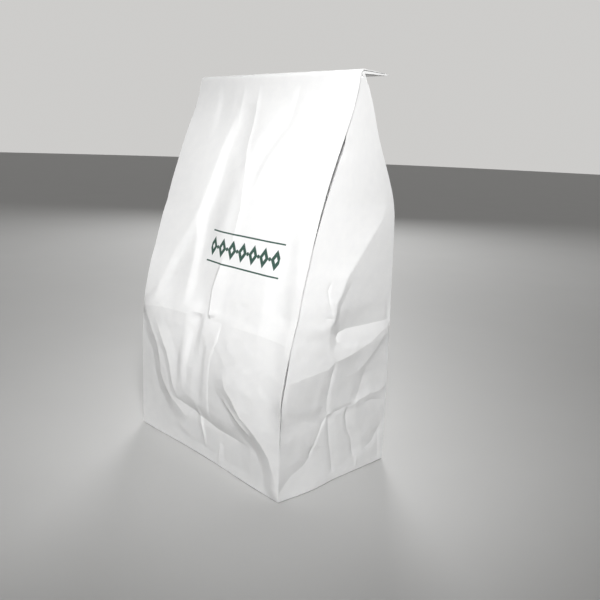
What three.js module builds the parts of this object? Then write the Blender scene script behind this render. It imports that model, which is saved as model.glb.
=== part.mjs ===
// A white paper takeaway bag with a block bottom, standing on its own base. The block is nearly
// square up to the pack crease. Above it the front and the back lean together, and the spare
// paper of each side gusset is tucked into a narrow pleat behind the front corner. The mouth is
// pressed flat and folded over once, to the back.
// Millimetres, +Z up, the front panel faces -Y, and the origin is the middle of the base.
import * as THREE from 'three';

// Driving dimensions.
const bagWidth = 180;
const bagDepth = 110;
const packCreaseHeight = bagDepth;
const foldedEdge = 0.7;
const flapLength = 23.5;
const topLayerShortfall = 3.5;

// The centre line of the fold at the top, and the paper's two radii round it.
const fold = { y: 10.5, z: 290, outerStart: 4.6, outerEnd: 3.5, inner: 0.5 };
const foldStart = THREE.MathUtils.degToRad(190);
const foldEnd = THREE.MathUtils.degToRad(94);
const flapTipDrop = 1.3;
const flapTipRise = 0.5;

// Side profile of the paper, as [height, y].
const frontProfile = [
  [0, -55], [55, -56.5], [76, -56.5], [96, -54], [packCreaseHeight, -51], [200, -26], [222, -18.5],
  [260, -2.5], [273, 2.5], [288, 5.6],
];
const backProfile = [
  [0, 55], [60, 54.5], [160, 52], [200, 50.5], [219, 43.5], [244, 30.5], [267, 21.5],
  [288, 11.2],
];

// How far the front's right and left edges lie behind its middle at each height, and the width
// of the strip that draws back.
const rightSetback = [[72, 0], [84, 1.2], [101, 2], [131, 2.2], [148, 0.7], [169, 0.6], [180, 0]];
const leftSetback = [
  [0, 0.6], [55, 2.5], [76, 2.5], [94, 1.4], [108, -0.5], [126, -2.4], [143, -3], [156, -2.1],
  [181, -1.7], [194, -0.4], [222, -0.5], [253, -1.6], [273, -0.5], [288, 0],
];
const edgeStrip = 45;
// Along the base the front is drawn in a little near its middle, and the gussets stand out a
// little near the front. Both fade away up to the foot's height.
const footHeight = 30;
const frontFoot = { inset: 2.2, middle: -12, reach: 84 };
const gussetFoot = { inset: -2, middle: 0.27, reach: 0.27 };

// The pleat behind each front corner at each height: its width, how deep it is tucked in, and
// how far in the paper comes out of it again.
const pleatWidth = [
  [0, 0.8], [60, 1.3], [141, 1.5], [160, 2.4], [175, 4], [190, 5.6], [210, 5.8], [225, 4.8],
  [240, 2.6], [260, 1.6], [288, 0.9],
];
const widestPleat = 0.12;
const pleatDepth = [
  [0, 0], [40, 0.5], [60, 1.6], [107, 3.5], [141, 6], [160, 9], [175, 13], [210, 16], [240, 12],
  [288, 3],
];
const pleatOut = [
  [0, 0], [90, 0.2], [118, 0.8], [141, 1.5], [155, 2], [175, 2.6], [210, 2.6], [240, 2], [288, 1.2],
];
// The gusset is folded in its middle and at the crease that slants up to the back corner: how
// far each is from the front corner as a share of the depth, and how far in.
const middlePlace = [
  [107, 0.5], [118, 0.485], [127, 0.465], [135, 0.45], [148, 0.42], [165, 0.45], [200, 0.5],
];
const middleInset = [
  [0, 0], [14, 1.5], [40, 3.5], [76, 4], [90, 4], [107, 6.5], [118, 8], [141, 9.5], [155, 9],
  [175, 7.5], [200, 5.5], [220, 4.5], [260, 3], [286, 2],
];
const slantPlace = [
  [0, 0.66], [40, 0.6], [90, 0.6], [107, 0.53], [127, 0.495], [145, 0.48], [155, 0.52],
  [175, 0.73], [188, 0.87], [200, 0.95],
];
const slantInset = [
  [0, 0], [14, 1], [40, 2.8], [90, 3], [107, 7], [118, 7], [127, 5], [141, 4], [150, 3],
  [160, 2], [175, 1],
];
// How the front half falls to the middle fold: above 1 it is hollow, below 1 full.
const gussetHollow = [[0, 2.2], [80, 2.2], [107, 1.2], [130, 0.8], [160, 0.7]];

// Creases and dents pressed into the panels, as [across, height] points. A positive depth goes
// in, and a negative one stands out. Each fades over its reach to both sides and over its ends.
// The front and the back are measured across from the middle, and the gussets from their front
// corner.
const frontCreases = [
  { route: [[26, 120], [22, 10]], depth: -3, reach: 84, ends: 45 },
  { route: [[-88, 112], [-68, 90], [-52, 72], [-46, 52], [-18, 28]], depth: -2.3, reach: 16, ends: 12 },
  { route: [[-34, 43], [-2, 36], [60, 31]], depth: 2, reach: 18, ends: 16 },
  { route: [[20, 114], [11, 70], [10, 36]], depth: -1.3, reach: 11, ends: 12 },
  { route: [[28, 82], [45, 63], [75, 40], [89, 8]], depth: -2.9, reach: 20, ends: 24 },
  { route: [[60, 214], [72, 140], [85, 52]], depth: 1.9, reach: 16, ends: 30 },
  { route: [[-20, 272], [-27, 210], [-33, 183], [-24, 118]], depth: 2.6, reach: 22, ends: 30 },
  { route: [[-12, 287], [-7, 241], [8, 195], [7, 160]], depth: -1, reach: 12, ends: 20 },
  { route: [[-30, 198], [-55, 146], [-66, 114]], depth: 1.9, reach: 20, ends: 24 },
];
const rightGussetCreases = [
  { route: [[1, 86], [43, 91], [72, 100], [109, 111]], depth: -3, reach: 22, ends: 4 },
  { route: [[55, 113], [75, 114], [109, 114]], depth: 2.6, reach: 18, ends: 4 },
  { route: [[109, 109], [84, 88], [75, 75], [73, 57]], depth: -1.9, reach: 14, ends: 5 },
  { route: [[69, 58], [67, 48], [77, 18], [78, 10]], depth: 1.4, reach: 8, ends: 12 },
  { route: [[55, 56], [34, 25], [1, 4]], depth: 1.8, reach: 12, ends: 6 },
];
const leftGussetCreases = [
  { route: [[2, 96], [32, 90], [70, 92], [108, 104]], depth: -2.4, reach: 20, ends: 4 },
  { route: [[109, 4], [84, 24], [68, 40], [56, 56]], depth: 1.7, reach: 10, ends: 12 },
  { route: [[1, 4], [26, 22], [40, 38], [54, 54]], depth: 1.6, reach: 10, ends: 12 },
];
const backCreases = [
  { route: [[60, 112], [34, 74], [10, 50], [-20, 38]], depth: -1.5, reach: 16, ends: 12 },
  { route: [[-78, 108], [-58, 70], [-66, 30], [-86, 6]], depth: -1.4, reach: 15, ends: 12 },
];
// Creases die away at the base, which is flat, and at the pressed mouth.
const creasesStart = 10;
const creasesFade = 274;
const creasesStop = 286;
// How closely the dents of a panel and of a gusset run up to their folded edges.
const panelEdge = 8;
const gussetEdge = 0.3;

// Spacing of the faces.
const frontFaces = 28;
const backFaces = 16;
const blockRows = 18;
const slopeRows = 21;
const foldRows = 5;
const flapRows = 4;
const frontHalfFaces = 4;
const creaseFaces = 2;
const rearHalfFaces = 3;

// A value that changes with height, straight between its stations.
function atHeight(stations, height) {
  const last = stations.length - 1;
  if (height <= stations[0][0]) return stations[0][1];
  if (height >= stations[last][0]) return stations[last][1];
  const upper = stations.findIndex(([stationHeight]) => stationHeight >= height);
  const [lowHeight, lowValue] = stations[upper - 1];
  const [highHeight, highValue] = stations[upper];
  return THREE.MathUtils.mapLinear(height, lowHeight, highHeight, lowValue, highValue);
}

// How far one crease presses the paper in at a point. It is deepest on its route, fades over
// its reach, and runs out towards both ends.
function pressedBy(crease, point) {
  const nearest = new THREE.Vector2();
  let least = Infinity;
  let along = 0;
  let travelled = 0;
  for (let i = 1; i < crease.route.length; i += 1) {
    const start = new THREE.Vector2(...crease.route[i - 1]);
    const run = new THREE.Vector2(...crease.route[i]).sub(start);
    const share = THREE.MathUtils.clamp(
      nearest.copy(point).sub(start).dot(run) / run.lengthSq(), 0, 1);
    const away = nearest.copy(start).addScaledVector(run, share).distanceTo(point);
    if (away < least) {
      least = away;
      along = travelled + share * run.length();
    }
    travelled += run.length();
  }
  const fade = Math.max(0, 1 - (least / crease.reach) ** 2) ** 2;
  const toEnd = Math.min(along, travelled - along);
  return crease.depth * fade * Math.min(1, toEnd / crease.ends);
}

function pressed(creases, across, height) {
  const point = new THREE.Vector2(across, height);
  return creases.reduce((sum, crease) => sum + pressedBy(crease, point), 0);
}

// How far the gusset is pushed in at a share of the way from its front to its back corner.
function gussetInset(share, pleatShare, height) {
  const deep = atHeight(pleatDepth, height);
  const out = atHeight(pleatOut, height);
  const middle = atHeight(middlePlace, height);
  const middleIn = atHeight(middleInset, height);
  const slant = atHeight(slantPlace, height);
  const slantIn = atHeight(slantInset, height);
  const intoPleat = share / pleatShare;
  if (intoPleat <= 0.5) return deep * intoPleat * 2;
  if (intoPleat <= 1) return THREE.MathUtils.lerp(deep, out, intoPleat * 2 - 1);
  if (share <= middle) {
    const toMiddle = (share - pleatShare) / (middle - pleatShare);
    return THREE.MathUtils.lerp(out, middleIn, toMiddle ** atHeight(gussetHollow, height));
  }
  if (share <= slant) return THREE.MathUtils.mapLinear(share, middle, slant, middleIn, slantIn);
  return slantIn * (1 - share) / (1 - slant);
}

// Evenly spaced values from start to end, without the start.
function steps(start, end, count) {
  return Array.from({ length: count }, (_, i) => THREE.MathUtils.lerp(start, end, (i + 1) / count));
}

// How far in the paper is along the base, at a place along a panel.
function footInset(foot, place, height) {
  const away = Math.min(1, Math.abs(place - foot.middle) / foot.reach);
  return foot.inset * (1 - away ** 2) ** 2 * Math.max(0, 1 - height / footHeight);
}

// The front panel's points at one height, from its left to its right edge.
function frontRow(front, height, soft) {
  const half = bagWidth / 2;
  return [-half, ...steps(-half, half, frontFaces)].map((across) => {
    const intoLeft = Math.max(0, edgeStrip - half - across) / edgeStrip;
    const intoRight = Math.max(0, across - half + edgeStrip) / edgeStrip;
    const setback = atHeight(leftSetback, height) * intoLeft ** 2
      + atHeight(rightSetback, height) * intoRight ** 2;
    const dent = pressed(frontCreases, across, height) * soft * (1 - (across / half) ** panelEdge);
    const footIn = footInset(frontFoot, across, height);
    return [across, front[0] + setback + dent + footIn, front[1]];
  });
}

// The right gusset's points at one height, from the front corner's folded edge to the back
// corner's.
function gussetRow(front, back, height, soft, creases) {
  const depth = Math.hypot(back[0] - front[0], back[1] - front[1]);
  const edge = foldedEdge / depth;
  const pleatShare = Math.min(atHeight(pleatWidth, height) / depth, widestPleat);
  const middle = atHeight(middlePlace, height);
  const slant = atHeight(slantPlace, height);
  const shares = [
    0,
    pleatShare / 2,
    pleatShare,
    ...steps(pleatShare, middle, frontHalfFaces),
    ...steps(middle, slant, creaseFaces),
    ...steps(slant, 1, rearHalfFaces),
  ];
  return shares.map((share) => {
    const fade = soft * Math.sin(Math.PI * share) ** gussetEdge;
    const dent = pressed(creases, share * bagDepth, height) * fade;
    const footIn = footInset(gussetFoot, share, height);
    const inset = gussetInset(share, pleatShare, height) + dent + footIn;
    const place = THREE.MathUtils.lerp(edge, 1 - edge, share);
    const y = THREE.MathUtils.lerp(front[0], back[0], place);
    const z = THREE.MathUtils.lerp(front[1], back[1], place);
    return [bagWidth / 2 - inset, y, z];
  });
}

// One row of the tube of paper. The front and back points are [y, z], and height picks the
// shape that the row has there.
function row(front, back, height) {
  const half = bagWidth / 2;
  const fading = (creasesStop - height) / (creasesStop - creasesFade);
  const soft = THREE.MathUtils.clamp(Math.min(height / creasesStart, fading), 0, 1);
  const frontAt = (setback) => [front[0] + atHeight(setback, height), front[1]];
  const left = gussetRow(frontAt(leftSetback), back, height, soft, leftGussetCreases);
  const backRow = [half, ...steps(half, -half, backFaces)].map((across) => {
    const dent = pressed(backCreases, across, height) * soft * (1 - (across / half) ** panelEdge);
    return [across, back[0] - dent, back[1]];
  });
  return [
    ...frontRow(front, height, soft),
    ...gussetRow(frontAt(rightSetback), back, height, soft, rightGussetCreases),
    ...backRow,
    ...left.reverse().map(([x, y, z]) => [-x, y, z]),
  ];
}

// Every row from the base up the panels, round the fold and out to the tip of the flap.
function paperRows() {
  const rows = [];
  const slopeTop = frontProfile.at(-1)[0];
  const heights = [];
  for (let i = 0; i < blockRows; i += 1) heights.push((packCreaseHeight * i) / blockRows);
  for (let i = 0; i <= slopeRows; i += 1) {
    heights.push(THREE.MathUtils.lerp(packCreaseHeight, slopeTop, i / slopeRows));
  }
  heights.forEach((z) => {
    rows.push(row([atHeight(frontProfile, z), z], [atHeight(backProfile, z), z], z));
  });

  let outer = [];
  let inner = [];
  for (let i = 0; i < foldRows; i += 1) {
    const share = i / (foldRows - 1);
    const turn = THREE.MathUtils.lerp(foldStart, foldEnd, share);
    const radius = THREE.MathUtils.lerp(fold.outerStart, fold.outerEnd, share);
    outer = [fold.y + radius * Math.cos(turn), fold.z + radius * Math.sin(turn)];
    inner = [fold.y + fold.inner * Math.cos(turn), fold.z + fold.inner * Math.sin(turn)];
    rows.push(row(outer, inner, slopeTop));
  }
  for (let i = 1; i <= flapRows; i += 1) {
    const share = i / flapRows;
    rows.push(row(
      [outer[0] + (flapLength - topLayerShortfall) * share, outer[1] - flapTipDrop * share],
      [inner[0] + flapLength * share, inner[1] + flapTipRise * share],
      slopeTop,
    ));
  }
  return rows;
}

// Joins the rows into one closed skin, with a flat base and a closed end at the tip of the flap.
function bagGeometry() {
  const rows = paperRows();
  const columns = rows[0].length;
  const faces = [];
  for (let level = 1; level < rows.length; level += 1) {
    for (let i = 0; i < columns; i += 1) {
      const next = (i + 1) % columns;
      const low = (level - 1) * columns;
      const high = level * columns;
      faces.push(low + i, low + next, high + next, low + i, high + next, high + i);
    }
  }
  const base = rows[0].map(([x, y]) => new THREE.Vector2(x, y));
  THREE.ShapeUtils.triangulateShape(base, []).forEach(([a, b, c]) => faces.push(a, c, b));

  // The end is nearly flat, so it is divided up as it looks from along the flap.
  const tip = rows.at(-1);
  const tipStart = (rows.length - 1) * columns;
  const [, frontY, frontZ] = tip[0];
  const end = tip.map(([x, y, z]) => new THREE.Vector2(x, Math.hypot(y - frontY, z - frontZ)));
  THREE.ShapeUtils.triangulateShape(end, []).forEach(([a, b, c]) => {
    faces.push(tipStart + a, tipStart + b, tipStart + c);
  });

  const geometry = new THREE.BufferGeometry();
  geometry.setAttribute('position', new THREE.Float32BufferAttribute(rows.flat(2), 3));
  geometry.setIndex(faces);
  geometry.computeVertexNormals();
  return geometry;
}

const whitePaper = new THREE.MeshStandardMaterial({ color: 0xf3f2ee, roughness: 0.85, metalness: 0 });
const bag = new THREE.Mesh(bagGeometry(), whitePaper);
bag.name = 'paper_bag';

const model = new THREE.Group();
model.add(bag);
export default model;
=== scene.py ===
"""A white paper takeaway bag with a block bottom, shut and folded over once at the top.

The paper starts as a flat sheet, is scored along its creases, and is then folded up into the
standing bag. The bag's lengths are in millimetres until its last step, which turns them into
metres. The floor, the lights and the camera are in metres.
"""

import math

import bmesh
import bpy
import numpy as np
from mathutils import Matrix, Vector, noise


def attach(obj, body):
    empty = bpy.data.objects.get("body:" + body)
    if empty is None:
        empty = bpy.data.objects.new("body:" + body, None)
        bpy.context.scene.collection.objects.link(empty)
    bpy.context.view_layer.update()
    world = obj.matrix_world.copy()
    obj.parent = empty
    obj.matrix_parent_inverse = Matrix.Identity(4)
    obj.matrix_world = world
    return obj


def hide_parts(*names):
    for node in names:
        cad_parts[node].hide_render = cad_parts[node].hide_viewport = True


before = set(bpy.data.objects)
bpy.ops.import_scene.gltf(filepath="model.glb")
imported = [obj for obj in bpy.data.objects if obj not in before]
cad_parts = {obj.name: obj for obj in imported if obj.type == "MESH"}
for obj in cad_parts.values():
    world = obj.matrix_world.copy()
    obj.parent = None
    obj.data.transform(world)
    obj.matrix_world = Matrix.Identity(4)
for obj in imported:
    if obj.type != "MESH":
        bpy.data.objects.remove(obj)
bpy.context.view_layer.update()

MM = 0.001

# The bag, in millimetres. The front panel faces -Y, and the origin is the middle of the base.
BAG_WIDTH = 180.0
BAG_DEPTH = 110.0
HALF_WIDTH = BAG_WIDTH / 2
HALF_DEPTH = BAG_DEPTH / 2
PACK_CREASE = BAG_DEPTH
FOLDED_EDGE = 0.7
BASE_ROUNDING = 0.9
PAPER_THICKNESS = 0.22

# The panels of the flat sheet, left to right: front, right gusset, back, left gusset.
FRONT_START = 0.0
RIGHT_START = BAG_WIDTH
BACK_START = BAG_WIDTH + BAG_DEPTH
LEFT_START = 2 * BAG_WIDTH + BAG_DEPTH
SHEET_WIDTH = 2 * (BAG_WIDTH + BAG_DEPTH)
FRONT_FACES, RIGHT_FACES, BACK_FACES, LEFT_FACES = 140, 84, 80, 44
# The strips of paper beside a front corner, for the folded edge and the pleat behind it, and
# beside a back corner, for the folded edge alone.
PLEAT_PAPER = 1.6
PLEAT_FACES = 8
EDGE_PAPER = PLEAT_PAPER / PLEAT_FACES
BACK_EDGE_PAPER = 1.2

# The sheet from base to mouth: the standing panels, the round of the fold, the flap, and the
# little of the inside that shows in the mouth. That runs back by MOUTH_RUN of its length.
STANDING = 288.0
FOLD_ROUND = 9.0
FLAP = 23.5
MOUTH = 5.0
MOUTH_RUN = 0.8
FOLD_END = STANDING + FOLD_ROUND
FLAP_END = FOLD_END + FLAP
SHEET_LENGTH = FLAP_END + MOUTH
BLOCK_FACES, SLOPE_FACES, FOLD_FACES, FLAP_FACES, MOUTH_FACES = 88, 108, 14, 14, 4

# The fold at the top: its centre line, the paper's radii round it, and the length over which the
# standing paper passes into it. The flap's top layer ends a little short of the lower one.
FOLD_Y, FOLD_Z = 10.5, 290.0
FOLD_OUTER = (4.6, 3.5)
FOLD_INNER = 0.5
FOLD_TURN = (math.radians(190), math.radians(94))
FOLD_ENTRY = 2.0
TOP_LAYER_SHORTFALL = 3.5
FLAP_TIP_DROP = 1.3
FLAP_TIP_RISE = 0.5

# The bottom, glued shut: the width and height of the lip round it, how far the front flap laps
# past the middle, and where its grain is taken from on the sheet.
BOTTOM_LIP = 1.4
BOTTOM_LIFT = 0.7
FLAP_OVERLAP = 12.0
BOTTOM_PLACE = (300.0, 420.0)

# Scoring the flat sheet: the cells its faces are kept in, how near a line and how far past its
# ends the cut faces are, and how near a corner may already be to count as on the line.
CELL = 10.0
CUT_MARGIN = 2.6
END_MARGIN = 1.0
SNAP = 0.15
# Places along the paper are compared to within SEAM, and a face that reaches as near as that to
# one of the sheet's two ends, which are joined, is never cut.
SEAM = 0.01
# Corners nearer than MERGE become one, edges shorter than SLIVER are taken out, and the cuts of
# the bottom count a corner nearer than CLEAN_CUT as on the line.
MERGE, SLIVER, CLEAN_CUT = 0.01, 0.002, 0.001
# An edge that folds by more than CREASE_ANGLE is drawn sharp.
CREASE_ANGLE = math.radians(15)
# The grain map measures the paper in lengths of UV_SPAN.
UV_SPAN = 600.0

# Side profile of the paper, as (height, y).
FRONT_PROFILE = (
    (0, -55), (55, -56.5), (76, -56.5), (96, -54), (PACK_CREASE, -51), (200, -26), (222, -18.5),
    (260, -2.5), (273, 2.5), (288, 5.6),
)
BACK_PROFILE = (
    (0, 55), (60, 54.5), (160, 52), (200, 50.5), (219, 43.5), (244, 30.5), (264, 22.5),
    (276, 18.8), (288, 11.2),
)
# The profile's corners are rounded off over this much height to each side, from this many values.
PROFILE_SOFTNESS = 9.0
PROFILE_SAMPLES = 9

# How far the front's right and left edges lie behind its middle, and the width of the strip
# that draws back, as (height, value).
RIGHT_SETBACK = ((72, 0), (84, 1.2), (101, 2), (131, 2.2), (148, 0.7), (169, 0.6), (180, 0))
LEFT_SETBACK = (
    (0, 0.6), (55, 2.5), (76, 2.5), (94, 1.4), (108, -0.5), (126, -2.4), (143, -3), (156, -2.1),
    (181, -1.7), (194, -0.4), (222, -0.5), (253, -1.6), (273, -0.5), (288, 0),
)
STRIP = 45.0

# Along the base the front is drawn in a little near its middle, and the gussets stand out a
# little near the front: how far in, where, over what reach. Both fade away up to the foot.
FOOT = 30.0
FRONT_FOOT = (2.2, -12.0, 84.0)
GUSSET_FOOT = (-2.0, 0.27, 0.27)

# The gussets, as (height, value). Past STANDING the height goes on as the length along the paper,
# round the fold and out along the flap, where the spare paper lies deep between the two layers.
# Behind each front corner the spare paper is tucked into a pleat: its width and depth, and how
# far in the paper comes out of it again. The pleat runs in and back, by PLEAT_SLANT for each
# millimetre in. It is never wider than MOST_PLEAT of the bag's depth at its height, and never
# runs back further than MOST_SLANTED of it.
PLEAT_WIDTH = (
    (0, 0.3), (45, 0.7), (60, 1.3), (115, 2.2), (143, 2.6), (175, 3.4), (190, 4.4), (222, 5.4),
    (243, 5.2), (252, 2.2), (262, 1.5), (288, 0.9),
)
PLEAT_DEPTH = (
    (0, 0), (30, 0.3), (50, 2), (70, 5), (107, 6.5), (141, 7.5), (175, 10), (210, 12), (240, 12),
    (270, 6), (288, 2.5), (300, 20), (320, 30),
)
PLEAT_SLANT = 0.95
MOST_PLEAT = 0.12
MOST_SLANTED = 0.4
PLEAT_OUT = (
    (0, 0), (60, 0.2), (90, 1), (118, 2.4), (141, 3), (175, 3.2), (210, 3), (240, 2.4), (270, 1.2),
    (288, 0.5), (300, 20), (320, 30),
)
# The rest of a gusset has a rounded rise that slants up to the back corner. How far its ridge
# and the foot of its steep rear side are from the front corner, as a share of the depth, and how
# far in each is. In the flap the ridge becomes the deep inner fold, close under the top layer.
RIDGE_PLACE = (
    (0, 0.5), (90, 0.5), (97, 0.42), (104, 0.36), (109, 0.345), (114, 0.335), (121, 0.325),
    (125, 0.355), (138, 0.35), (143, 0.385), (155, 0.43), (177, 0.64), (194, 0.83), (204, 0.89),
    (286, 0.89), (290, 0.3), (320, 0.3),
)
RIDGE_INSET = (
    (0, 0), (20, 0.6), (50, 0.2), (76, -0.8), (90, -1), (104, -1.6), (118, -2.8), (131, -3.2),
    (143, -3.2), (155, -2.8), (177, -1.8), (194, -0.6), (204, 0), (288, 0.4), (298, 32),
    (320, 50),
)
REAR_PLACE = (
    (0, 0.66), (40, 0.6), (90, 0.58), (97, 0.48), (102, 0.4), (106, 0.41), (110, 0.425),
    (116, 0.45), (121, 0.45), (125, 0.415), (134, 0.4), (140, 0.435), (147, 0.47),
    (155, 0.53), (177, 0.75), (194, 0.93), (204, 0.97), (286, 0.97), (290, 0.38),
    (320, 0.38),
)
REAR_INSET = (
    (0, 0), (20, 0.4), (50, 0.16), (76, -0.64), (90, -0.84), (97, -1.15), (102, -1.1), (106, -0.5),
    (110, -0.5), (116, -0.7), (121, -1.1), (131, -1.8), (143, -2), (155, -2.2), (177, -1.2),
    (194, -0.25), (204, 0), (288, 0.2), (320, 0.2),
)

# Rubbed paper: the width of the line along a crease, the depth from which a crease is rubbed
# fully, and how much and how widely the folded edges are rubbed.
WORN_WIDTH, WORN_DEPTH = 1.6, 2.0
EDGE_WEAR, EDGE_WEAR_WIDTH = 0.7, 1.5

# Creases die away at the base, which is flat, and at the pressed mouth.
CREASES_FULL = 8.0
CREASES_FADE = (272.0, 290.0)
# How closely creases run up to a panel's folded edges. A higher number is closer on the front and
# the back, and a lower one is closer on the gussets.
FRONT_EDGE, BACK_EDGE, GUSSET_EDGE = 16, 8, 0.3

# The fine crinkles, broad, middling and ridged, as (scale, height, start of the pattern). The
# paper is calmer above the block. They come in above the base and fade out below the fold.
CRINKLES = (
    (0.045, 0.25, Vector((0, 0, 0))),
    (0.13, 0.10, Vector((7, 3, 1))),
    (0.07, 0.35, Vector((2, 9, 4))),
)
CALM_HEIGHT, CALM_SHARE = PACK_CREASE + 20, 0.35
CRINKLES_FULL = 6.0
CRINKLES_FADE = (264.0, 284.0)


def at(stations, height):
    """The value at each height, straight between its stations."""
    heights, values = zip(*stations)
    return np.interp(height, heights, values)


def softly_at(stations, height, softness):
    """As at(), with the corners between stations rounded off."""
    reach = np.minimum(softness, np.clip(stations[-1][0] - height, 0, None))
    offsets = np.linspace(-1, 1, PROFILE_SAMPLES)
    return np.mean([at(stations, height + reach * k) for k in offsets], axis=0)


class Crease:
    """A crease or dent pressed into a panel along a route of (across, height) points.

    A positive depth goes in and a negative one stands out. It is sharpest on its route and fades
    over its reach to the left and to the right, seen from outside and travelling its way. It runs
    out over the length ends, or over one length at each end. A higher power is sharper, and a
    soft crease is a rounded dent, which is neither scored nor rubbed.
    """

    def __init__(self, route, depth, left, right, ends=12.0, soft=False, power=1.6):
        self.route = [np.array(point, dtype=float) for point in route]
        self.depth = depth
        self.left = left
        self.right = right
        self.ends = ends if isinstance(ends, tuple) else (ends, ends)
        self.soft = soft
        self.power = power

    def distances(self, across, height):
        """Signed distance to the route, left positive, and how far in from its nearer end."""
        nearest = np.full_like(across, np.inf)
        signed = np.zeros_like(across)
        along = np.zeros_like(across)
        travelled = 0.0
        for start, end in zip(self.route, self.route[1:]):
            run = end - start
            length = np.hypot(*run)
            over, up = across - start[0], height - start[1]
            share = np.clip((over * run[0] + up * run[1]) / length**2, 0, 1)
            distance = np.hypot(over - share * run[0], up - share * run[1])
            side = np.sign(run[0] * up - run[1] * over)
            closer = distance < nearest
            nearest = np.where(closer, distance, nearest)
            signed = np.where(closer, distance * np.where(side == 0, 1, side), signed)
            along = np.where(closer, travelled + share * length, along)
            travelled += length
        return signed, np.minimum(along / self.ends[0], (travelled - along) / self.ends[1])

    def pressed(self, across, height):
        """How far in the crease presses the paper."""
        signed, ended = self.distances(across, height)
        reach = np.where(signed > 0, self.left, self.right)
        away = np.clip(np.abs(signed) / reach, 0, 1)
        fade = (1 - away**2) ** 2 if self.soft else (1 - away) ** self.power
        taper = np.clip(ended, 0, 1)
        return self.depth * fade * taper * (2 - taper)

    def worn(self, across, height):
        """How much the paper is rubbed on the crease itself."""
        if self.soft:
            return np.zeros_like(across)
        signed, ended = self.distances(across, height)
        line = np.clip(1 - np.abs(signed) / WORN_WIDTH, 0, 1)
        return line * np.clip(ended, 0, 1) * min(1.0, abs(self.depth) / WORN_DEPTH)


# Creases of the front panel, measured across from its middle.
FRONT_CREASES = [
    Crease([(26, 120), (22, 10)], depth=-3.0, left=64, right=108, ends=45, soft=True),
    Crease([(-89, 114), (-82, 104), (-70, 91), (-59, 81), (-54, 71), (-52, 60), (-48, 52),
            (-37, 42), (-28, 35), (-20, 28)], depth=-3.0, left=58, right=15, power=1.15,
           ends=(8, 16)),
    Crease([(-66, 100), (-52, 88), (-42, 78), (-37, 68), (-34, 57), (-29, 47), (-25, 38)],
           depth=-1.3, left=11, right=7, power=1.15, ends=(24, 12)),
    Crease([(-36, 44), (-12, 38), (-2, 36), (12, 34), (23, 32), (37, 32), (60, 31)],
           depth=2.6, left=12, right=26, ends=(14, 30), power=1.4),
    Crease([(-4, 46), (-1, 36), (1, 29), (3, 21), (2, 10)],
           depth=-0.9, left=2.5, right=6, ends=(18, 12)),
    Crease([(17.5, 114), (17, 101), (13, 87), (12, 70), (12, 51), (12, 36)],
           depth=0.4, left=14, right=1.4, power=1.3),
    Crease([(24, 22), (22, 14), (19, 1)], depth=-1.1, left=6, right=2.5, ends=5),
    Crease([(28, 82), (34, 71), (45, 63), (54, 53), (64, 48), (75, 40), (82, 32), (86.5, 20),
            (89.5, 2)], depth=-3.4, left=30, right=14, ends=(34, 3), power=1.2),
    Crease([(30, 62), (38, 56), (49, 50), (64, 41)], depth=-0.7, left=4, right=2.5, ends=14),
    Crease([(-12, 115), (-10, 74)], depth=1.7, left=9, right=15, soft=True, ends=(6, 24)),
    Crease([(1, 100), (1, 67), (-3, 46)], depth=1.0, left=6, right=10, soft=True, ends=20),
    Crease([(-19, 102), (-22, 50)], depth=-1.3, left=6, right=8, soft=True, ends=20),
    Crease([(-89, 107), (-62, 110.5), (-36, 112), (-12, 112)],
           depth=-1.3, left=24, right=15, ends=(3, 14), power=1.3),
    Crease([(3, 112.5), (24, 113.5)], depth=0.25, left=4, right=9, ends=7),
    Crease([(26, 113.5), (60, 114), (88, 112)], depth=-0.6, left=16, right=12, ends=(12, 3)),
    Crease([(60, 214), (67, 172), (72, 140), (76, 116), (80, 92), (85, 52)],
           depth=1.1, left=14, right=20, ends=(60, 14), soft=True),
    Crease([(-20, 272), (-26, 236), (-27, 210), (-33, 183), (-28, 155), (-24, 118)],
           depth=2.4, left=30, right=12, soft=True, ends=(34, 26)),
    Crease([(-12, 287), (-9, 260), (-7, 241), (3, 218), (8, 195), (7, 160)],
           depth=-0.6, left=5, right=9, ends=(10, 30)),
    Crease([(36, 268), (18, 241), (12, 226), (8, 206)],
           depth=1.3, left=8, right=14, soft=True, ends=30),
    Crease([(1, 158), (-2, 133), (2, 114)], depth=-1.9, left=17, right=4, ends=(22, 4)),
    Crease([(-26, 232), (-33, 190), (-39, 175), (-55, 146), (-66, 114)],
           depth=2.2, left=28, right=12, soft=True, ends=(60, 24)),
    Crease([(-56, 289), (-50, 240)], depth=0.7, left=16, right=8, soft=True, ends=(6, 34)),
    Crease([(-30, 289), (-28, 246)], depth=-0.5, left=8, right=8, ends=(6, 34)),
    Crease([(34, 289), (30, 250)], depth=0.5, left=9, right=6, ends=(6, 30)),
]

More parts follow.
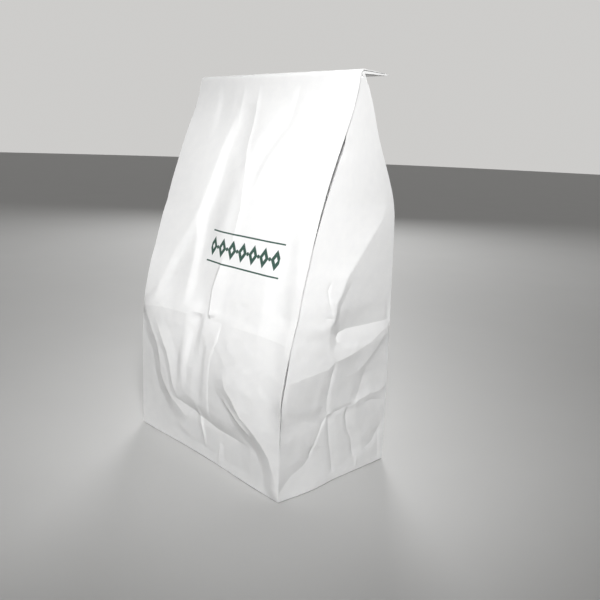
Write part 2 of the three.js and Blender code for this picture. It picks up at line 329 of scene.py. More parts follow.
# Creases of the right gusset, measured along the paper from its front corner.
RIGHT_CREASES = [
    Crease([(1, 86), (15, 88), (28, 89.5), (40, 90.5), (46, 95), (57, 96.5), (69, 99), (86, 103.5),
            (100, 109.5), (109, 112)], depth=-2.1, left=26, right=26, power=1.4, ends=4),
    Crease([(45, 110), (48, 115), (56, 116.5), (70, 116.5), (109, 117)],
           depth=1.9, left=20, right=15, ends=4, power=1.6),
    Crease([(109, 109), (100, 104.5), (95, 98.5), (82, 88), (74, 82)],
           depth=-0.6, left=5, right=18, power=1.3, ends=8),
    Crease([(82, 82), (81, 74), (78, 65), (74, 57)], depth=1.1, left=12, right=8, ends=8,
           power=1.2),
    Crease([(51, 55), (57, 55.5), (63, 56.5), (71, 56.5)], depth=0.4, left=3, right=3, ends=3),
    Crease([(73, 55.5), (77, 58.5), (84, 59.5), (90, 61.5), (96, 60.5), (103, 61.5), (109, 65)],
           depth=-0.8, left=7, right=7, ends=4),
    Crease([(85, 55.5), (93, 55.5), (109, 51.5)], depth=0.4, left=2.5, right=5, ends=4),
    Crease([(67, 56), (66, 48), (68, 38), (73, 28.5), (75, 18.5), (76, 13)],
           depth=1.5, left=10, right=4, ends=(5, 8), power=1.3),
    Crease([(46, 97), (46, 88), (45.5, 78), (45, 68), (45, 58), (47, 55)],
           depth=0.8, left=3.5, right=9, ends=(16, 3)),
    Crease([(47, 56), (41, 48), (37, 40), (32, 31), (30, 26)],
           depth=0.55, left=1.7, right=5, ends=4),
    Crease([(34, 35), (30, 26), (23, 21), (12, 17), (5, 11), (0, 5)],
           depth=1.5, left=24, right=9, power=1.3, ends=(12, 3)),
    Crease([(47, 55), (48.5, 41.5), (50, 30.5), (52, 20.5), (54, 7)],
           depth=1.1, left=8, right=5, ends=(4, 6)),
    Crease([(79, 12), (78, 3)], depth=-0.6, left=3, right=2.5, ends=4),
    Crease([(109, 37), (97, 20), (85, 15)], depth=0.9, left=5, right=12),
    Crease([(103, 30), (104, 1)], depth=1.1, left=6, right=12, ends=6),
    Crease([(1, 59), (22, 54.5), (34, 54.5), (44, 56.5)], depth=0.9, left=9, right=14, soft=True,
           ends=5),
    Crease([(28, 128), (37, 127)], depth=0.35, left=2, right=2, ends=3),
    Crease([(29, 153), (27, 147), (30, 138), (35, 128)], depth=0.5, left=2, right=3, ends=5),
    Crease([(1, 118), (30, 113), (49, 112)], depth=0.25, left=8, right=8, soft=True),
]

# Creases of the back panel, measured across from the middle as seen from behind.
BACK_CREASES = [
    Crease([(-60, 112), (-34, 74), (-10, 50), (20, 38)], depth=-1.5, left=20, right=12),
    Crease([(78, 108), (58, 70), (66, 30), (86, 6)], depth=-1.4, left=12, right=18),
    Crease([(-88, 109), (0, 111), (88, 110)], depth=0.6, left=8, right=8, ends=3),
    Crease([(20, 280), (10, 240), (16, 205)], depth=0.9, left=6, right=12),
    Crease([(-52, 202), (-40, 160), (-44, 120)], depth=1.1, left=14, right=6),
    Crease([(-89, 200), (-30, 202), (40, 199), (89, 201)], depth=-0.5, left=9, right=9),
    Crease([(12, 1), (12, 318)], depth=-0.35, left=0.5, right=13, ends=2.0),
]

# Creases of the left gusset, measured along the paper from its back corner.
LEFT_CREASES = [
    Crease([(1, 4), (26, 24), (42, 40), (54, 56)], depth=1.7, left=13, right=5),
    Crease([(109, 4), (84, 22), (70, 38), (56, 54)], depth=1.6, left=5, right=13),
    Crease([(1, 55), (30, 57), (55, 55), (84, 53), (109, 56)], depth=0.9, left=6, right=7),
    Crease([(55, 98), (55, 4)], depth=1.2, left=6, right=5),
    Crease([(38, 92), (42, 70), (36, 46), (40, 6)], depth=1.2, left=9, right=5),
    Crease([(2, 104), (40, 92), (78, 90), (108, 96)], depth=-2.4, left=24, right=16, power=1.3,
           soft=True, ends=4),
    Crease([(2, 113), (50, 111), (109, 114)], depth=1.0, left=12, right=6),
]

# Each panel: its creases, where it starts on the sheet, its width, and where across it the
# creases are measured from.
PANELS = (
    (FRONT_CREASES, FRONT_START, BAG_WIDTH, HALF_WIDTH),
    (RIGHT_CREASES, RIGHT_START, BAG_DEPTH, 0),
    (BACK_CREASES, BACK_START, BAG_WIDTH, HALF_WIDTH),
    (LEFT_CREASES, LEFT_START, BAG_DEPTH, 0),
)


def gusset_folds():
    """The routes of the gusset's own folds across the flat paper, from its front corner."""
    for places in (RIDGE_PLACE, REAR_PLACE):
        yield [(place * BAG_DEPTH, height) for height, place in places if height <= STANDING]


def scored_lines():
    """Every line to score across the flat sheet: its start and end, in sheet coordinates."""
    for creases, panel_start, _, middle in PANELS:
        shift = (panel_start + middle, 0)
        for crease in creases:
            if crease.soft:
                continue
            for start, end in zip(crease.route, crease.route[1:]):
                yield start + shift, end + shift
    for route in gusset_folds():
        for start, end in zip(route, route[1:]):
            start, end = np.array(start), np.array(end)
            yield start + (RIGHT_START, 0), end + (RIGHT_START, 0)
            yield (SHEET_WIDTH - start[0], start[1]), (SHEET_WIDTH - end[0], end[1])


def flat_sheet():
    """The flat paper as a grid, closer where the bag is seen and creased most."""
    columns = (FRONT_FACES, PLEAT_FACES, RIGHT_FACES, BACK_FACES, LEFT_FACES, PLEAT_FACES)
    rows = (BLOCK_FACES, SLOPE_FACES, FOLD_FACES, FLAP_FACES, MOUTH_FACES)
    across_stops = (FRONT_START, RIGHT_START, RIGHT_START + PLEAT_PAPER, BACK_START, LEFT_START,
                    SHEET_WIDTH - PLEAT_PAPER, SHEET_WIDTH)
    up_stops = (0, PACK_CREASE, STANDING, FOLD_END, FLAP_END, SHEET_LENGTH)
    sheet = bmesh.new()
    bmesh.ops.create_grid(sheet, x_segments=sum(columns), y_segments=sum(rows), size=0.5)
    column_stops = np.concatenate(([0], np.cumsum(columns))) / sum(columns)
    row_stops = np.concatenate(([0], np.cumsum(rows))) / sum(rows)
    for vertex in sheet.verts:
        across = np.interp(vertex.co.x + 0.5, column_stops, across_stops)
        up = np.interp(vertex.co.y + 0.5, row_stops, up_stops)
        vertex.co = (across, up, 0)
    return sheet


def score(sheet):
    """Cuts an edge into the sheet along every crease, so that each one folds sharply."""
    cells = {}

    def file_away(faces):
        for face in faces:
            middle = face.calc_center_median()
            cells.setdefault((middle.x // CELL, middle.y // CELL), set()).add(face)

    file_away(sheet.faces)
    for start, end in scored_lines():
        start, end = np.array(start), np.array(end)
        length = np.hypot(*(end - start))
        run = (end - start) / length
        low = (np.minimum(start, end) - CUT_MARGIN) // CELL
        high = (np.maximum(start, end) + CUT_MARGIN) // CELL
        near = set()
        for column in np.arange(low[0], high[0] + 1):
            for row in np.arange(low[1], high[1] + 1):
                cell = cells.get((column, row), set())
                for face in list(cell):
                    if any(not SEAM < v.co.x < SHEET_WIDTH - SEAM for v in face.verts):
                        continue
                    middle = face.calc_center_median()
                    offset = np.array(middle[:2]) - start
                    off_line = abs(run[0] * offset[1] - run[1] * offset[0])
                    beside = -END_MARGIN < offset @ run < length + END_MARGIN
                    if beside and off_line < CUT_MARGIN:
                        near.add(face)
                        cell.discard(face)
        geometry = list(near) + list({e for f in near for e in f.edges})
        geometry += list({v for f in near for v in f.verts})
        cut = bmesh.ops.bisect_plane(
            sheet, geom=geometry, dist=SNAP, plane_co=(*start, 0), plane_no=(-run[1], run[0], 0))
        file_away(part for part in cut["geom"] if isinstance(part, bmesh.types.BMFace))
        for part in cut["geom_cut"]:
            if isinstance(part, bmesh.types.BMEdge):
                part.smooth = False


def lower_edge(up):
    """The rounding where the panels turn under: how far in the paper is, and its height."""
    turn = np.clip(up / BASE_ROUNDING, 0, math.pi / 2)
    inward = BASE_ROUNDING * (1 - np.sin(turn))
    lifted = BASE_ROUNDING * (1 - np.cos(turn))
    straight = np.clip(up - BASE_ROUNDING * math.pi / 2, 0, None)
    return inward, lifted + straight


def side_paths(up):
    """Where the front and back panels' middles lie at each length up the sheet: (y, z) of both."""
    height = np.minimum(up, STANDING)
    front_y = softly_at(FRONT_PROFILE, height, PROFILE_SOFTNESS)
    back_y = softly_at(BACK_PROFILE, height, PROFILE_SOFTNESS)
    standing = (front_y, height, back_y, height)

    fold_share = np.clip((up - STANDING) / FOLD_ROUND, 0, 1)
    turn = FOLD_TURN[0] + (FOLD_TURN[1] - FOLD_TURN[0]) * fold_share
    outer = FOLD_OUTER[0] + (FOLD_OUTER[1] - FOLD_OUTER[0]) * fold_share
    flap_share = np.clip((up - FOLD_END) / FLAP, 0, 1)
    folded = (
        FOLD_Y + outer * np.cos(turn) + (FLAP - TOP_LAYER_SHORTFALL) * flap_share,
        FOLD_Z + outer * np.sin(turn) - FLAP_TIP_DROP * flap_share,
        FOLD_Y + FOLD_INNER * np.cos(turn) + FLAP * flap_share,
        FOLD_Z + FOLD_INNER * np.sin(turn) + FLAP_TIP_RISE * flap_share,
    )
    entered = np.clip((up - STANDING) / FOLD_ENTRY, 0, 1)
    return [upright + (bent - upright) * entered for upright, bent in zip(standing, folded)]


def foot_inset(foot, place, up):
    """How far in the paper is along the base, at a place along a panel."""
    inset, middle, reach = foot
    away = np.clip(np.abs(place - middle) / reach, 0, 1)
    return inset * (1 - away**2) ** 2 * np.clip(1 - up / FOOT, 0, 1)


def pleat(run, depth, up):
    """The pleat at a share of the way along its paper: how far back and how far in it lies."""
    opening = np.minimum(at(PLEAT_WIDTH, up), MOST_PLEAT * depth)
    deepest, out_inset = at(PLEAT_DEPTH, up), at(PLEAT_OUT, up)
    slanted = np.minimum(PLEAT_SLANT * deepest - opening / 2, MOST_SLANTED * depth)
    slanted = np.where(up < STANDING, np.clip(slanted, 0, None), 0)
    halfway = 1 - np.abs(2 * run - 1)
    inset = np.where(run < 0.5, deepest * 2 * run, out_inset + (deepest - out_inset) * halfway)
    return opening * run + slanted * halfway, inset


def gusset_inset(share, pleat_end, up):
    """How far in the gusset is at a share of the way from its front to its back corner."""
    ridge, rear = at(RIDGE_PLACE, up), at(REAR_PLACE, up)
    out_inset, ridge_inset, rear_inset = (
        at(stations, up) for stations in (PLEAT_OUT, RIDGE_INSET, REAR_INSET))
    to_ridge = np.clip((share - pleat_end) / (ridge - pleat_end), 0, 1)
    to_ridge = out_inset + (ridge_inset - out_inset) * to_ridge
    to_rear = ridge_inset + (rear_inset - ridge_inset) * (share - ridge) / (rear - ridge)
    to_back = rear_inset * (1 - share) / (1 - rear)
    return np.select([share < ridge, share < rear], [to_ridge, to_rear], to_back)


def pressed(creases, across, up):
    """How far in all of a panel's creases together press the paper."""
    soft = np.clip(up / CREASES_FULL, 0, 1)
    soft *= np.clip((CREASES_FADE[1] - up) / (CREASES_FADE[1] - CREASES_FADE[0]), 0, 1)
    return soft * sum(crease.pressed(across, up) for crease in creases)


def joined(across):
    """The two ends of the sheet meet along the front's left edge."""
    return np.where(across > SHEET_WIDTH - SEAM, 0, across)


def on_panels(across):
    """Which points are on the front panel, and which are on the back panel."""
    return across <= RIGHT_START, (across >= BACK_START) & (across <= LEFT_START)


def front_panel(across, up, y, z, right_setback, left_setback):
    """The front panel, with the strips beside its two edges drawn back."""
    over = across - HALF_WIDTH
    into_right = np.clip((over - HALF_WIDTH + STRIP) / STRIP, 0, 1) ** 2
    into_left = np.clip((STRIP - HALF_WIDTH - over) / STRIP, 0, 1) ** 2
    dent = pressed(FRONT_CREASES, over, up) * (1 - np.abs(over / HALF_WIDTH) ** FRONT_EDGE)
    y = y + right_setback * into_right + left_setback * into_left + dent
    return np.stack([over, y + foot_inset(FRONT_FOOT, over, up), z], 1)


def back_panel(across, up, y, z):
    """The back panel, which faces the other way, so that its dents go towards the front."""
    over = across - BACK_START - HALF_WIDTH
    dent = pressed(BACK_CREASES, over, up) * (1 - np.abs(over / HALF_WIDTH) ** BACK_EDGE)
    return np.stack([-over, y - dent, z], 1)


def gusset(side, creases, along, up, front_corner, back_corner):
    """A gusset, right for a side of 1 and left for -1, between its two corners' (y, z)."""
    (front_y, front_z), (back_y, back_z) = front_corner, back_corner
    from_front = along if side > 0 else BAG_DEPTH - along
    depth = np.maximum(np.hypot(back_y - front_y, back_z - front_z), 1)
    edge = FOLDED_EDGE / depth

    # Across the folded edge, the pleat, the panel and the back edge, as shares of the depth.
    run = np.clip((from_front - EDGE_PAPER) / (PLEAT_PAPER - EDGE_PAPER), 0, 1)
    pleat_back, pleat_in = pleat(run, depth, up)
    pleat_end = edge + np.minimum(at(PLEAT_WIDTH, up) / depth, MOST_PLEAT)
    on_front_edge = from_front < EDGE_PAPER - SEAM
    in_pleat = from_front < PLEAT_PAPER - SEAM
    to_back_edge = BAG_DEPTH - BACK_EDGE_PAPER
    on_back_edge = from_front > to_back_edge + SEAM
    share = np.select(
        [on_front_edge, in_pleat, on_back_edge],
        [edge * from_front / EDGE_PAPER, edge + pleat_back / depth,
         1 - edge * (BAG_DEPTH - from_front) / BACK_EDGE_PAPER],
        pleat_end + (1 - edge - pleat_end) * (from_front - PLEAT_PAPER) / (
            to_back_edge - PLEAT_PAPER))

    # How far in it is, with its creases.
    inset = np.where(in_pleat, pleat_in, gusset_inset(np.clip(share, 0, 1), pleat_end, up))
    dent = pressed(creases, along, up)
    dent *= np.sin(math.pi * np.clip(along / BAG_DEPTH, 0, 1)) ** GUSSET_EDGE
    inset += (dent + foot_inset(GUSSET_FOOT, share, up)) * run
    inset = np.where(on_front_edge | on_back_edge, 0, inset)
    y = front_y + (back_y - front_y) * share
    z = front_z + (back_z - front_z) * share
    return np.stack([side * (HALF_WIDTH - inset), y, z], 1)


def fold_up(flat):
    """Where each point of the flat sheet goes on the standing bag, in millimetres."""
    across, up = joined(flat[:, 0]), flat[:, 1]
    inward, base_height = lower_edge(up)
    to_mouth = np.minimum(up, FLAP_END)
    front_y, front_z, back_y, back_z = side_paths(to_mouth)
    front_z = np.where(to_mouth < STANDING, base_height, front_z)
    back_z = np.where(to_mouth < STANDING, base_height, back_z)
    right_setback, left_setback = at(RIGHT_SETBACK, up), at(LEFT_SETBACK, up)

    points = np.zeros((len(flat), 3))
    is_front, is_back = on_panels(across)
    front = front_panel(across, up, front_y, front_z, right_setback, left_setback)
    points[is_front] = front[is_front]
    points[is_back] = back_panel(across, up, back_y, back_z)[is_back]
    for start, setback, side, creases in (
        (RIGHT_START, right_setback, 1, RIGHT_CREASES),
        (LEFT_START, left_setback, -1, LEFT_CREASES),
    ):
        inside = (across > start) & (across < start + BAG_DEPTH)
        corners = (front_y + setback, front_z), (back_y, back_z)
        points[inside] = gusset(side, creases, across - start, up, *corners)[inside]

    # The panels turn under at the base.
    points[:, 0] *= 1 - inward / HALF_WIDTH
    points[:, 1] *= 1 - inward / HALF_DEPTH
    return points


def turned_into_mouth(flat, points):
    """Past the mouth's edge the paper turns in and runs back between the layers."""
    across, up = joined(flat[:, 0]), flat[:, 1]
    deep = np.clip((up - FLAP_END) / MOUTH, 0, 1)
    rim = np.clip(deep * MOUTH_FACES, 0, 1)
    is_front, is_back = on_panels(across)
    along = np.where(across < BACK_START, across - RIGHT_START, SHEET_WIDTH - across)
    toward_back = np.select([is_front, is_back, along < HALF_DEPTH], [1, -1, -1], 1)
    points[:, 2] -= PAPER_THICKNESS * rim * toward_back
    points[:, 1] -= MOUTH * MOUTH_RUN * np.clip(deep - 1 / MOUTH_FACES, 0, 1)
    points[:, 0] -= np.sign(points[:, 0]) * PAPER_THICKNESS * rim * (~is_front & ~is_back)
    return points


def crinkle(point, up):
    """The fine unevenness of handled paper, in millimetres out of the surface."""
    calm = CALM_SHARE if up > CALM_HEIGHT else 1.0
    broad, middling, ridged = (
        noise.noise(point * scale + start) * height for scale, height, start in CRINKLES)
    return (broad + middling - abs(ridged)) * calm


def rubbed(flat):
    """How rubbed the paper is at each point, on its creases and along its folded edges."""
    across, up = flat[:, 0], flat[:, 1]
    total = np.zeros(len(flat))
    for creases, start, width, middle in PANELS:
        inside = (across >= start) & (across <= start + width)
        over = across - start - middle
        for crease in creases:
            total = np.where(inside, np.maximum(total, crease.worn(over, up)), total)
    for corner in (0, RIGHT_START, BACK_START, LEFT_START, SHEET_WIDTH):
        nearness = np.clip(1 - np.abs(across - corner) / EDGE_WEAR_WIDTH, 0, 1)
        total = np.maximum(total, EDGE_WEAR * nearness)
    return total


def paper_bag():
    """The whole bag as one closed skin of paper."""
    sheet = flat_sheet()
    score(sheet)
    sheet.verts.ensure_lookup_table()
    flat = np.array([vertex.co[:2] for vertex in sheet.verts])
    points = turned_into_mouth(flat, fold_up(flat))

    uv = sheet.loops.layers.uv.new("paper")
    sheet.verts.index_update()
    for face in sheet.faces:
        face.smooth = True
        for loop in face.loops:
            loop[uv].uv = flat[loop.vert.index] / UV_SPAN
    wear = sheet.verts.layers.float.new("wear")
    for vertex, point, worn in zip(sheet.verts, points, rubbed(flat)):
        vertex.co = point
        vertex[wear] = worn
    bmesh.ops.remove_doubles(sheet, verts=sheet.verts, dist=MERGE)
    bmesh.ops.recalc_face_normals(sheet, faces=sheet.faces)

    # Fine crinkles, out along the surface and none on the base's edge or the fold.
    sheet.normal_update()
    fade_start, fade_end = CRINKLES_FADE
    moves = []
    for vertex in sheet.verts:
        up = vertex.co.z
        fading = min(1, max(0, (fade_end - up) / (fade_end - fade_start)))
        amount = min(1, up / CRINKLES_FULL) * fading
        moves.append(vertex.normal * crinkle(vertex.co, up) * amount)
    for vertex, move in zip(sheet.verts, moves):
        vertex.co += move

    close_ends(sheet, uv)
    bmesh.ops.dissolve_degenerate(sheet, edges=sheet.edges, dist=SLIVER)
    for edge in sheet.edges:
        if edge.calc_face_angle(0) > CREASE_ANGLE:
            edge.smooth = False
    bmesh.ops.scale(sheet, vec=(MM, MM, MM), verts=sheet.verts)
    return as_piece("paper_bag_skin", sheet)


def open_rim(sheet, low):
    """The open edges at the base, or else those at the mouth."""
    return [
        edge for edge in sheet.edges
        if edge.is_boundary and (edge.verts[0].co.z < PACK_CREASE) == low
    ]


def close_base(sheet):
    """The bottom inside its rim: the two ends, over them the back flap, and last the front flap."""
    lip = bmesh.ops.extrude_edge_only(sheet, edges=open_rim(sheet, True))["geom"]
    lip = [part for part in lip if isinstance(part, bmesh.types.BMVert)]
    smaller = (1 - BOTTOM_LIP / HALF_WIDTH, 1 - BOTTOM_LIP / HALF_DEPTH, 1)
    bmesh.ops.scale(sheet, vec=smaller, verts=lip)
    bmesh.ops.translate(sheet, vec=(0, 0, BOTTOM_LIFT), verts=lip)
    filled = bmesh.ops.triangle_fill(
        sheet, edges=open_rim(sheet, True), use_beauty=True, use_dissolve=False)["geom"]
    bottom = {part for part in filled if isinstance(part, bmesh.types.BMFace)}

    # Cut along the flaps' edges: the front flap's end, and the slanting ends of both.
    cuts = [((0, FLAP_OVERLAP), (0, 1))]
    cuts += [((side * HALF_WIDTH, HALF_DEPTH), (1, -side)) for side in (-1, 1)]
    cuts += [((side * HALF_WIDTH, -HALF_DEPTH), (1, side)) for side in (-1, 1)]
    for place, across in cuts:
        edges = {edge for face in bottom for edge in face.edges if bottom >= set(edge.link_faces)}
        cut = bmesh.ops.bisect_plane(
            sheet, geom=[*bottom, *edges], dist=CLEAN_CUT, plane_co=(*place, 0),
            plane_no=(*across, 0))
        bottom = {part for part in cut["geom"] if isinstance(part, bmesh.types.BMFace)}

    def both_flaps(x, y):
        return abs(x) < HALF_WIDTH - HALF_DEPTH + abs(y)

    def front_flap(x, y):
        return y < FLAP_OVERLAP and abs(x) < HALF_WIDTH - HALF_DEPTH - y

    for covers in (both_flaps, front_flap):
        under = [face for face in bottom if covers(*face.calc_center_median()[:2])]
        flap = bmesh.ops.extrude_face_region(sheet, geom=under)["geom"]
        lowered = [part for part in flap if isinstance(part, bmesh.types.BMVert)]
        bmesh.ops.translate(sheet, vec=(0, 0, -PAPER_THICKNESS), verts=lowered)
        bmesh.ops.delete(sheet, geom=under, context="FACES")
        bottom = [part for part in flap if isinstance(part, bmesh.types.BMFace)]


def close_ends(sheet, uv):
    """Closes the bottom and the end of the mouth, and lays the rest of the paper's grain."""
    panels = set(sheet.faces)
    close_base(sheet)
    bmesh.ops.triangle_fill(sheet, edges=open_rim(sheet, False), use_beauty=True)
    for face in set(sheet.faces) - panels:
        face.smooth = False
        for loop in face.loops:
            spot = loop.vert.co
            loop[uv].uv = (spot.x + BOTTOM_PLACE[0]) / UV_SPAN, (spot.y + BOTTOM_PLACE[1]) / UV_SPAN
    bmesh.ops.recalc_face_normals(sheet, faces=sheet.faces)


def as_piece(name, body):
    """A finished piece from a bmesh, at the origin, with its place in its mesh."""
    mesh = bpy.data.meshes.new(name)
    body.to_mesh(mesh)
    body.free()
    piece = bpy.data.objects.new(name, mesh)
    bpy.context.collection.objects.link(piece)
    return piece


class Nodes:
    """Shorthand for building a node material."""

    def __init__(self, name):
        self.material = bpy.data.materials.new(name)
        self.material.use_nodes = True
        self.tree = self.material.node_tree
        self.shader = self.tree.nodes["Principled BSDF"]

    def add(self, kind, inputs=(), **settings):
        node = self.tree.nodes.new(kind)
        for key, value in settings.items():
            setattr(node, key, value)
        for key, value in dict(inputs).items():
            self.put(node.inputs[key], value)
        return node

    def put(self, socket, value):
        if isinstance(value, bpy.types.NodeSocket):
            self.tree.links.new(value, socket)
        else:
            socket.default_value = value

    def maths(self, operation, first, second=0.0):
        return self.add("ShaderNodeMath", {0: first, 1: second}, operation=operation).outputs[0]

    def ramp(self, value, low, high, start=0.0, end=1.0):
        inputs = {"Value": value, "From Min": low, "From Max": high, "To Min": start, "To Max": end}
        return self.add("ShaderNodeMapRange", inputs).outputs["Result"]

    def mix(self, share, first, second):
        """A blend of two colours, which are a Mix node's inputs 6 and 7 and its output 2."""
        inputs = {"Factor": share, 6: first, 7: second}
        return self.add("ShaderNodeMix", inputs, data_type="RGBA").outputs[2]


PAPER_WHITE = (0.86, 0.86, 0.855, 1)
PAPER_SHADE = (0.81, 0.812, 0.815, 1)
RUBBED_WHITE = (0.9, 0.9, 0.89, 1)
PRINT_GREEN = (0.008, 0.06, 0.04, 1)

# The paper's texture, as noise of (scale, detail, roughness) over the grain map. The colour is
# made of clouds and fibres, and the relief of fibres and specks.
CLOUDS = (70, 3, 0.6)
FIBRES = (900, 4, 0.7)
SPECKS = (2600, 2, 0.6)
CLOUD_SHARE, FIBRE_SHARE = 0.6, 0.4
TONE_RANGE = (0.3, 0.7)
RUBBED_SHARE = 0.25
SPECK_HEIGHT = 0.5
RELIEF_STRENGTH, RELIEF_DEPTH = 0.18, 0.0002
# What the fibres do to the ink's cover and to the roughness: from and to these values of theirs,
# it goes from the third number to the fourth.
INK_COVER = (0.25, 0.6, 0.86, 1.0)
PAPER_ROUGHNESS = (0.3, 0.7, 0.62, 0.74)
PAPER_GLOSS = 0.35

# The printed band of lozenges: its middle on the front panel and its sizes, in millimetres.
PRINT_ACROSS, PRINT_HEIGHT = 21.0, 165.0
LOZENGE_PITCH, LOZENGE_HALF_WIDTH, LOZENGE_HALF_HEIGHT = 12.2, 4.9, 7.2
LOZENGES = 7
DOT_RADIUS = 1.3
RULE_OFFSET, RULE_HALF = 11.4, 0.45
PRINT_EDGE = 0.22
# The slant is 0 in a lozenge's middle and 1 on its edge. The print starts at the edge and stops
# short of the middle, and goes from none at the first value of each pair to full at the second.
LOZENGE_EDGE = (1.04, 0.98)
LOZENGE_HOLLOW = (0.30, 0.36)
# Pitches that keep the count along the band above zero. A half more puts a lozenge in the middle
# of the band, and the dots stand between the lozenges.
LOZENGE_SHIFT, DOT_SHIFT = 10.5, 10.0


def printed_band(nodes, across, up):
    """1 where the green print is: lozenges and dots between two thin rules."""
    over = nodes.maths("SUBTRACT", across, HALF_WIDTH + PRINT_ACROSS)
    above = nodes.maths("SUBTRACT", up, PRINT_HEIGHT)
    wide = nodes.maths("ABSOLUTE", over)
    high = nodes.maths("ABSOLUTE", above)

    def to_nearest(shift):
        """How far away across the band the nearest motif of a row with this shift is."""
        shifted = nodes.maths("ADD", nodes.maths("DIVIDE", over, LOZENGE_PITCH), shift)
        cell = nodes.maths("SUBTRACT", nodes.maths("FRACT", shifted), 0.5)
        return nodes.maths("MULTIPLY", nodes.maths("ABSOLUTE", cell), LOZENGE_PITCH)

    # The sum of the two shares of the half diagonals is 1 on a lozenge's edge.
    slant = nodes.maths(
        "ADD", nodes.maths("DIVIDE", to_nearest(LOZENGE_SHIFT), LOZENGE_HALF_WIDTH),
        nodes.maths("DIVIDE", high, LOZENGE_HALF_HEIGHT))
    lozenge = nodes.maths(
        "MULTIPLY", nodes.ramp(slant, *LOZENGE_EDGE), nodes.ramp(slant, *LOZENGE_HOLLOW))
    away = nodes.add("ShaderNodeCombineXYZ", {"X": to_nearest(DOT_SHIFT), "Y": high})
    length = nodes.add("ShaderNodeVectorMath", {0: away.outputs[0]}, operation="LENGTH")
    dot = nodes.ramp(length.outputs["Value"], DOT_RADIUS + PRINT_EDGE, DOT_RADIUS)
    row = nodes.maths("MAXIMUM", lozenge, dot)
    row_half = LOZENGES * LOZENGE_PITCH / 2
    last_dot = row_half - 2 * DOT_RADIUS
    row = nodes.maths("MULTIPLY", row, nodes.ramp(wide, last_dot + PRINT_EDGE, last_dot))

    off_rule = nodes.maths("ABSOLUTE", nodes.maths("SUBTRACT", high, RULE_OFFSET))
    rule = nodes.ramp(off_rule, RULE_HALF + PRINT_EDGE, RULE_HALF)
    rule = nodes.maths("MULTIPLY", rule, nodes.ramp(wide, row_half, row_half - PRINT_EDGE))
    return nodes.maths("MAXIMUM", row, rule)


def white_paper():
    """Matt white paper: cloudy formation, fine fibres, rubbed creases and the green print."""
    nodes = Nodes("white paper")
    uv = nodes.add("ShaderNodeUVMap", uv_map="paper").outputs[0]
    split = nodes.add("ShaderNodeSeparateXYZ", {0: uv})
    across = nodes.maths("MULTIPLY", split.outputs[0], UV_SPAN)
    up = nodes.maths("MULTIPLY", split.outputs[1], UV_SPAN)
    wear = nodes.add("ShaderNodeAttribute", attribute_name="wear").outputs["Fac"]

    def grain(scale, detail, roughness):
        inputs = {"Vector": uv, "Scale": scale, "Detail": detail, "Roughness": roughness}
        return nodes.add("ShaderNodeTexNoise", inputs).outputs["Fac"]

    clouds, fibres, specks = grain(*CLOUDS), grain(*FIBRES), grain(*SPECKS)
    tone = nodes.maths("ADD", nodes.maths("MULTIPLY", clouds, CLOUD_SHARE),
                       nodes.maths("MULTIPLY", fibres, FIBRE_SHARE))
    shade = nodes.mix(nodes.ramp(tone, *TONE_RANGE), PAPER_SHADE, PAPER_WHITE)
    bare = nodes.mix(nodes.maths("MULTIPLY", wear, RUBBED_SHARE), shade, RUBBED_WHITE)

    ink = printed_band(nodes, across, up)
    cover = nodes.maths("MULTIPLY", ink, nodes.ramp(fibres, *INK_COVER))
    nodes.put(nodes.shader.inputs["Base Color"], nodes.mix(cover, bare, PRINT_GREEN))
    nodes.put(nodes.shader.inputs["Roughness"], nodes.ramp(fibres, *PAPER_ROUGHNESS))
    nodes.shader.inputs["Specular IOR Level"].default_value = PAPER_GLOSS

    relief = nodes.maths("ADD", fibres, nodes.maths("MULTIPLY", specks, SPECK_HEIGHT))
    bump = nodes.add("ShaderNodeBump", {
        "Height": relief, "Strength": RELIEF_STRENGTH, "Distance": RELIEF_DEPTH})
    nodes.put(nodes.shader.inputs["Normal"], bump.outputs[0])
    return nodes.material


# The floor: a wide disc, with a faint mottle of two pale greys.
FLOOR_RADIUS, FLOOR_SIDES = 6.0, 96
FLOOR_GREYS = (0.52, 0.52, 0.515, 1), (0.55, 0.55, 0.545, 1)
FLOOR_MOTTLE = {"Scale": 9.0, "Detail": 4.0}
FLOOR_ROUGHNESS = 0.6


def studio_floor():
    """A plain pale floor."""
    body = bmesh.new()
    bmesh.ops.create_circle(body, cap_ends=True, segments=FLOOR_SIDES, radius=FLOOR_RADIUS)
    floor = as_piece("floor", body)
    nodes = Nodes("pale floor")
    place = nodes.add("ShaderNodeTexCoord").outputs["Object"]
    mottle = nodes.add("ShaderNodeTexNoise", {"Vector": place, **FLOOR_MOTTLE})
    colour = nodes.mix(mottle.outputs["Fac"], *FLOOR_GREYS)
    nodes.put(nodes.shader.inputs["Base Color"], colour)
    nodes.shader.inputs["Roughness"].default_value = FLOOR_ROUGHNESS
    floor.data.materials.append(nodes.material)


def soft_light(name, place, aim, size, power, spread=180):
    """A round lamp, with its size in metres, its power in watts and its spread in degrees."""
    lamp = bpy.data.lights.new(name, "AREA")
    lamp.shape = "DISK"
    lamp.size = size
    lamp.energy = power
    lamp.spread = math.radians(spread)
    light = bpy.data.objects.new(name, lamp)
    light.location = place
    light.rotation_euler = (Vector(aim) - Vector(place)).to_track_quat("-Z", "Y").to_euler()
    bpy.context.collection.objects.link(light)


# The light all round is weak, and strongest from behind on the left. It grows with how nearly a
# direction points to that bright side, over the first pair of values, between the second pair.
ROUND_COLOUR = (0.99, 0.98, 0.96, 1)
BRIGHT_SIDE = (-0.72, 0.69, 0)
ROUND_STRENGTH = {"From Min": 0.35, "From Max": 0.85, "To Min": 0.16, "To Max": 0.62}


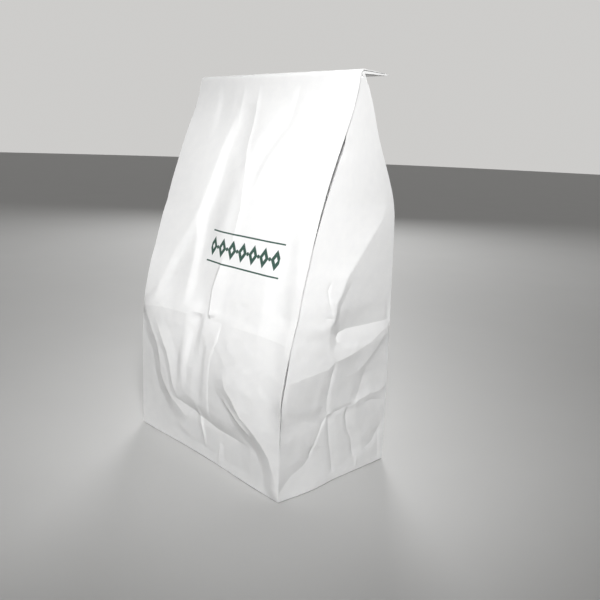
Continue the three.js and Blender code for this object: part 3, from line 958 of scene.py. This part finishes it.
def studio():
    """Soft light from the upper right, weaker light from the left and behind, and all round."""
    middle = (0, 0, 0.14)
    soft_light("key light", place=(0.50, -0.39, 0.65), aim=(0.01, -0.01, 0.165), size=0.15,
               power=0.64, spread=50)
    soft_light("fill light", place=(-0.5, -1.6, 0.5), aim=middle, size=1.2, power=3.3)
    soft_light("back light", place=(-1.0, 0.95, 0.75), aim=middle, size=0.5, power=8.0)

    world = bpy.data.worlds.new("studio")
    world.use_nodes = True
    tree = world.node_tree
    background = tree.nodes["Background"]
    background.inputs["Color"].default_value = ROUND_COLOUR
    facing = tree.nodes.new("ShaderNodeVectorMath")
    facing.operation = "DOT_PRODUCT"
    facing.inputs[1].default_value = BRIGHT_SIDE
    tree.links.new(tree.nodes.new("ShaderNodeTexCoord").outputs["Generated"], facing.inputs[0])
    strength = tree.nodes.new("ShaderNodeMapRange")
    tree.links.new(facing.outputs["Value"], strength.inputs["Value"])
    for name, value in ROUND_STRENGTH.items():
        strength.inputs[name].default_value = value
    tree.links.new(strength.outputs["Result"], background.inputs["Strength"])
    bpy.context.scene.world = world
    bpy.context.scene.view_settings.view_transform = "Standard"


# The camera: its place, how far it is turned, tipped down and rolled, and its lens, whose sizes
# are in millimetres.
CAMERA_PLACE = (0.4158, -0.3505, 0.2510)
CAMERA_TURN, CAMERA_TIP, CAMERA_ROLL = (math.radians(angle) for angle in (46.52, 13.43, 2.15))
SENSOR_WIDTH, FOCAL_LENGTH = 36, 42
NEAREST_SEEN = 0.01


def camera():
    """The photograph's viewing place and angle."""
    lens = bpy.data.cameras.new("camera")
    lens.sensor_width = SENSOR_WIDTH
    lens.lens = FOCAL_LENGTH
    lens.clip_start = NEAREST_SEEN
    viewer = bpy.data.objects.new("camera", lens)
    level = math.pi / 2
    facing = Matrix.Rotation(CAMERA_TURN, 4, "Z") @ Matrix.Rotation(level - CAMERA_TIP, 4, "X")
    viewer.matrix_world = (
        Matrix.Translation(CAMERA_PLACE) @ facing @ Matrix.Rotation(CAMERA_ROLL, 4, "Z"))
    bpy.context.collection.objects.link(viewer)
    bpy.context.scene.camera = viewer


bag = paper_bag()
bag.data.materials.append(white_paper())
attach(bag, "root")
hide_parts("paper_bag")

studio_floor()
studio()
camera()
